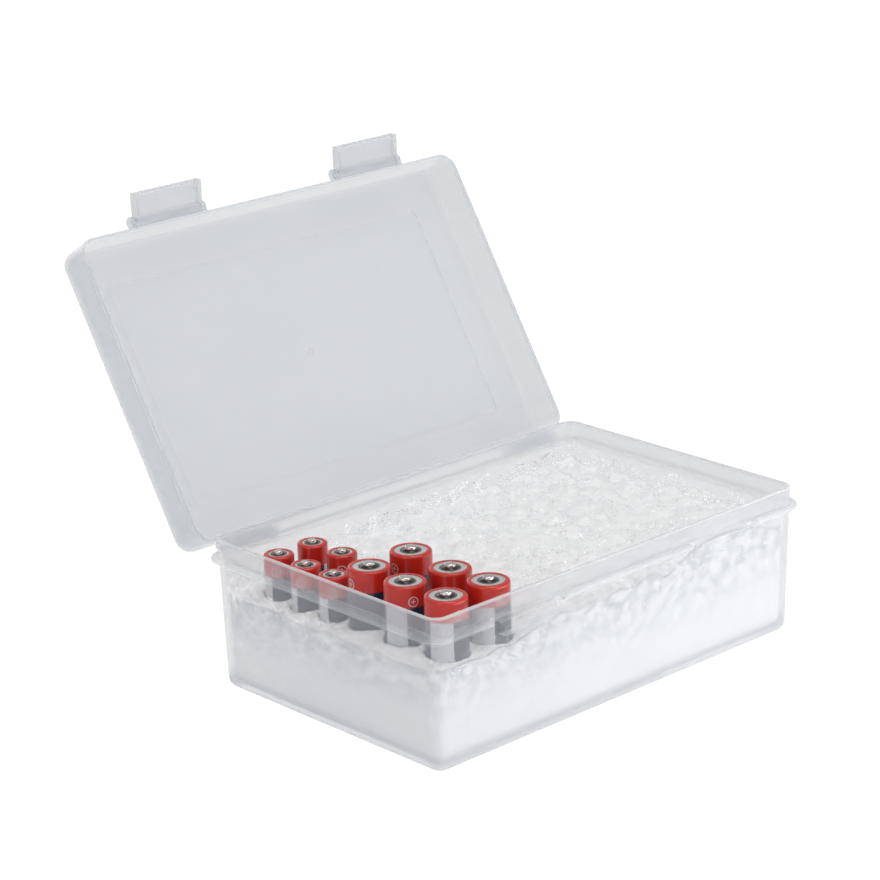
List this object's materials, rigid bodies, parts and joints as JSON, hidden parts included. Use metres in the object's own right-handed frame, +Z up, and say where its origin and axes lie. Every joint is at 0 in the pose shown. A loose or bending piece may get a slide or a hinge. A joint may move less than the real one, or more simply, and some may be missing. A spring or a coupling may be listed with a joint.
{
  "type": "battery storage case",
  "caption": "Frosted hinged-lid storage case with two front latches, holding upright dry cells in clear packing film.",
  "frame": {"origin": "centre of the tub's underside, on the surface that it stands on", "axes": "+Z up, +X along the long side to the right, the latches and the front face -Y"},
  "size_m": [0.1808, 0.191, 0.1598],
  "materials": {
    "frosted_tub": "frosted translucent polypropylene",
    "frosted_lid": "frosted translucent polypropylene",
    "frosted_latch": "frosted translucent polypropylene",
    "packing_film": "crumpled clear film, sparkling",
    "cell_steel": "nickel-plated steel",
    "cell_sleeve": "glossy printed sleeve, red band over slate",
    "cell_washer": "pale grey insulating ring",
    "cell_cap": "bright plated steel"
  },
  "bodies": {
    "tub": {"base_tub": "frosted_tub", "packing_fill": "packing_film", "large_cell_1_can": "cell_steel", "large_cell_1_sleeve": "cell_sleeve", "large_cell_1_washer": "cell_washer", "large_cell_1_cap": "cell_cap", "large_cell_2_can": "cell_steel", "large_cell_2_sleeve": "cell_sleeve", "large_cell_2_washer": "cell_washer", "large_cell_2_cap": "cell_cap", "large_cell_3_can": "cell_steel", "large_cell_3_sleeve": "cell_sleeve", "large_cell_3_washer": "cell_washer", "large_cell_3_cap": "cell_cap", "large_cell_4_can": "cell_steel", "large_cell_4_sleeve": "cell_sleeve", "large_cell_4_washer": "cell_washer", "large_cell_4_cap": "cell_cap", "large_cell_5_can": "cell_steel", "large_cell_5_sleeve": "cell_sleeve", "large_cell_5_washer": "cell_washer", "large_cell_5_cap": "cell_cap", "large_cell_6_can": "cell_steel", "large_cell_6_sleeve": "cell_sleeve", "large_cell_6_washer": "cell_washer", "large_cell_6_cap": "cell_cap", "small_cell_1_can": "cell_steel", "small_cell_1_sleeve": "cell_sleeve", "small_cell_1_washer": "cell_washer", "small_cell_1_cap": "cell_cap", "small_cell_2_can": "cell_steel", "small_cell_2_sleeve": "cell_sleeve", "small_cell_2_washer": "cell_washer", "small_cell_2_cap": "cell_cap", "small_cell_3_can": "cell_steel", "small_cell_3_sleeve": "cell_sleeve", "small_cell_3_washer": "cell_washer", "small_cell_3_cap": "cell_cap", "small_cell_4_can": "cell_steel", "small_cell_4_sleeve": "cell_sleeve", "small_cell_4_washer": "cell_washer", "small_cell_4_cap": "cell_cap", "small_cell_5_can": "cell_steel", "small_cell_5_sleeve": "cell_sleeve", "small_cell_5_washer": "cell_washer", "small_cell_5_cap": "cell_cap"},
    "lid": {"lid_shell": "frosted_lid"},
    "left_latch": {"latch_left": "frosted_latch"},
    "right_latch": {"latch_right": "frosted_latch"}
  },
  "joints": [
    {"name": "lid_hinge", "type": "hinge", "parent": "tub", "child": "lid", "pos_m": [0, 0.0593, 0.04885], "axis": [1, 0, 0], "range_deg": [0, 121.7]},
    {"name": "left_latch_pivot", "type": "hinge", "parent": "lid", "child": "left_latch", "pos_m": [-0.0475, 0.12273, 0.14936], "axis": [1, 0, 0], "range_deg": [-50, 60]},
    {"name": "right_latch_pivot", "type": "hinge", "parent": "lid", "child": "right_latch", "pos_m": [0.0475, 0.12273, 0.14936], "axis": [1, 0, 0], "range_deg": [-50, 60]}
  ]
}
